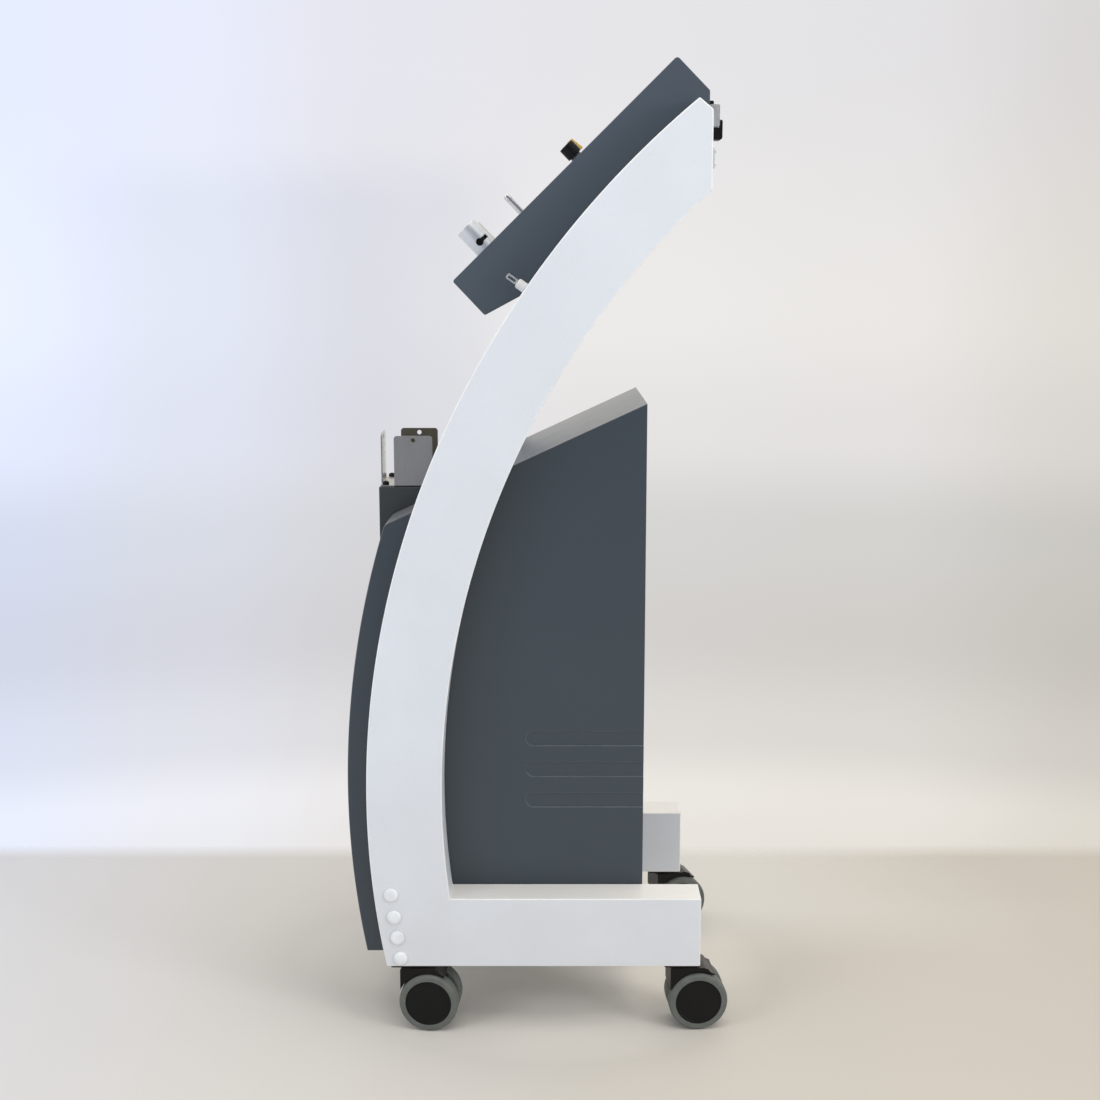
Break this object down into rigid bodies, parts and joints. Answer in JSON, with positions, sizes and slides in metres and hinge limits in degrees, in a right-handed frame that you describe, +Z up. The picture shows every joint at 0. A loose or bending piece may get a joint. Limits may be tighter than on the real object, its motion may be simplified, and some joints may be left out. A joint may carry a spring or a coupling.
{
  "type": "treatment console trolley",
  "caption": "Free-standing treatment console: two curved side frames on castors, tapered cabinet, tilted control head and a holder cradle.",
  "frame": {"origin": "on the floor under the middle of the overall box", "axes": "+Z up; -X towards the user, +X towards the rear; -Y is the machine's own left as it faces the user"},
  "size_m": [0.4844, 0.3863, 1.1977],
  "materials": {
    "white_powder_coat": "satin powder coat",
    "slate_powder_coat": "satin powder coat",
    "charcoal_plastic": "satin powder coat",
    "brushed_stainless": "brushed",
    "satin_aluminium": "satin turned",
    "chrome": "polished",
    "zinc_steel": "zinc plated",
    "black_plastic": "fine grain",
    "black_hub": "fine grain",
    "grey_tyre": "smooth",
    "yellow_plastic": "smooth",
    "white_plastic": "smooth",
    "display_glass": "glossy"
  },
  "bodies": {
    "console": {"side_frame_left": "white_powder_coat", "side_frame_right": "white_powder_coat", "cap_left_1": "white_plastic", "cap_left_2": "white_plastic", "cap_left_3": "white_plastic", "cap_left_4": "white_plastic", "cap_right_1": "white_plastic", "cap_right_2": "white_plastic", "cap_right_3": "white_plastic", "cap_right_4": "white_plastic", "cabinet_shell": "slate_powder_coat", "front_cover": "slate_powder_coat", "base_pan": "slate_powder_coat", "rear_panel": "slate_powder_coat", "power_inlet": "black_plastic", "head_housing": "slate_powder_coat", "head_face_panel": "slate_powder_coat", "display": "display_glass", "hose_spigot": "chrome", "cup_core_left": "black_plastic", "cup_core_right": "black_plastic", "eye_collar_left": "white_plastic", "eye_collar_right": "white_plastic", "latch_keeper": "black_plastic", "latch_bracket": "zinc_steel", "edge_plate": "white_plastic", "holder_box": "charcoal_plastic", "holder_cradle": "brushed_stainless", "castor_front_left_plate": "black_plastic", "castor_front_right_plate": "black_plastic", "castor_rear_left_plate": "black_plastic", "castor_rear_right_plate": "black_plastic"},
    "knob": {"knob": "black_plastic", "knob_pointer": "yellow_plastic"},
    "cup_left": {"cup_sleeve_left": "satin_aluminium"},
    "cup_right": {"cup_sleeve_right": "satin_aluminium"},
    "eye_left": {"eye_loop_left": "chrome"},
    "eye_right": {"eye_loop_right": "chrome"},
    "latch": {"latch_lever": "zinc_steel", "latch_grip": "black_plastic"},
    "castor_front_left_fork": {"castor_front_left_fork": "black_plastic"},
    "castor_front_left_wheel_a": {"castor_front_left_tyre_a": "grey_tyre", "castor_front_left_hub_a": "black_hub"},
    "castor_front_left_wheel_b": {"castor_front_left_tyre_b": "grey_tyre", "castor_front_left_hub_b": "black_hub"},
    "castor_front_right_fork": {"castor_front_right_fork": "black_plastic"},
    "castor_front_right_wheel_a": {"castor_front_right_tyre_a": "grey_tyre", "castor_front_right_hub_a": "black_hub"},
    "castor_front_right_wheel_b": {"castor_front_right_tyre_b": "grey_tyre", "castor_front_right_hub_b": "black_hub"},
    "castor_rear_left_fork": {"castor_rear_left_fork": "black_plastic"},
    "castor_rear_left_wheel_a": {"castor_rear_left_tyre_a": "grey_tyre", "castor_rear_left_hub_a": "black_hub"},
    "castor_rear_left_wheel_b": {"castor_rear_left_tyre_b": "grey_tyre", "castor_rear_left_hub_b": "black_hub"},
    "castor_rear_right_fork": {"castor_rear_right_fork": "black_plastic"},
    "castor_rear_right_wheel_a": {"castor_rear_right_tyre_a": "grey_tyre", "castor_rear_right_hub_a": "black_hub"},
    "castor_rear_right_wheel_b": {"castor_rear_right_tyre_b": "grey_tyre", "castor_rear_right_hub_b": "black_hub"}
  },
  "joints": [
    {"name": "knob_turn", "type": "hinge", "parent": "console", "child": "knob", "pos_m": [0.03999, -0.085, 1.09344], "axis": [-0.699, 0, 0.7151], "range_deg": [-150, 150]},
    {"name": "cup_left_lock", "type": "hinge", "parent": "console", "child": "cup_left", "pos_m": [-0.07086, -0.07, 0.9851], "axis": [-0.699, 0, 0.7151], "range_deg": [0, 40]},
    {"name": "cup_right_lock", "type": "hinge", "parent": "console", "child": "cup_right", "pos_m": [-0.07086, 0.07, 0.9851], "axis": [-0.699, 0, 0.7151], "range_deg": [0, 40]},
    {"name": "eye_left_swivel", "type": "hinge", "parent": "console", "child": "eye_left", "pos_m": [-0.01538, -0.158, 0.9315], "axis": [-0.8185, 0, 0.5746], "continuous": true},
    {"name": "eye_right_swivel", "type": "hinge", "parent": "console", "child": "eye_right", "pos_m": [-0.01538, 0.158, 0.9315], "axis": [-0.8185, 0, 0.5746], "continuous": true},
    {"name": "latch_open", "type": "hinge", "parent": "console", "child": "latch", "pos_m": [0.2095, -0.115, 1.1375], "axis": [0, -1, 0], "range_deg": [0, 95]},
    {"name": "castor_front_left_swivel", "type": "hinge", "parent": "console", "child": "castor_front_left_fork", "pos_m": [-0.1617, -0.158, 0.0375], "axis": [0, 0, 1], "continuous": true},
    {"name": "castor_front_left_roll_a", "type": "hinge", "parent": "castor_front_left_fork", "child": "castor_front_left_wheel_a", "pos_m": [-0.13839, -0.16004, 0.0375], "axis": [0.0872, 0.9962, 0], "continuous": true},
    {"name": "castor_front_left_roll_b", "type": "hinge", "parent": "castor_front_left_fork", "child": "castor_front_left_wheel_b", "pos_m": [-0.13839, -0.16004, 0.0375], "axis": [0.0872, 0.9962, 0], "continuous": true},
    {"name": "castor_front_right_swivel", "type": "hinge", "parent": "console", "child": "castor_front_right_fork", "pos_m": [-0.1617, 0.158, 0.0375], "axis": [0, 0, 1], "continuous": true},
    {"name": "castor_front_right_roll_a", "type": "hinge", "parent": "castor_front_right_fork", "child": "castor_front_right_wheel_a", "pos_m": [-0.13859, 0.15434, 0.0375], "axis": [0.1564, 0.9877, 0], "continuous": true},
    {"name": "castor_front_right_roll_b", "type": "hinge", "parent": "castor_front_right_fork", "child": "castor_front_right_wheel_b", "pos_m": [-0.13859, 0.15434, 0.0375], "axis": [0.1564, 0.9877, 0], "continuous": true},
    {"name": "castor_rear_left_swivel", "type": "hinge", "parent": "console", "child": "castor_rear_left_fork", "pos_m": [0.1773, -0.158, 0.0375], "axis": [0, 0, 1], "continuous": true},
    {"name": "castor_rear_left_roll_a", "type": "hinge", "parent": "castor_rear_left_fork", "child": "castor_rear_left_wheel_a", "pos_m": [0.20063, -0.15621, 0.0375], "axis": [-0.0767, 0.9971, 0], "continuous": true},
    {"name": "castor_rear_left_roll_b", "type": "hinge", "parent": "castor_rear_left_fork", "child": "castor_rear_left_wheel_b", "pos_m": [0.20063, -0.15621, 0.0375], "axis": [-0.0767, 0.9971, 0], "continuous": true},
    {"name": "castor_rear_right_swivel", "type": "hinge", "parent": "console", "child": "castor_rear_right_fork", "pos_m": [0.1773, 0.158, 0.0375], "axis": [0, 0, 1], "continuous": true},
    {"name": "castor_rear_right_roll_a", "type": "hinge", "parent": "castor_rear_right_fork", "child": "castor_rear_right_wheel_a", "pos_m": [0.19979, 0.16445, 0.0375], "axis": [-0.2756, 0.9613, 0], "continuous": true},
    {"name": "castor_rear_right_roll_b", "type": "hinge", "parent": "castor_rear_right_fork", "child": "castor_rear_right_wheel_b", "pos_m": [0.19979, 0.16445, 0.0375], "axis": [-0.2756, 0.9613, 0], "continuous": true}
  ]
}
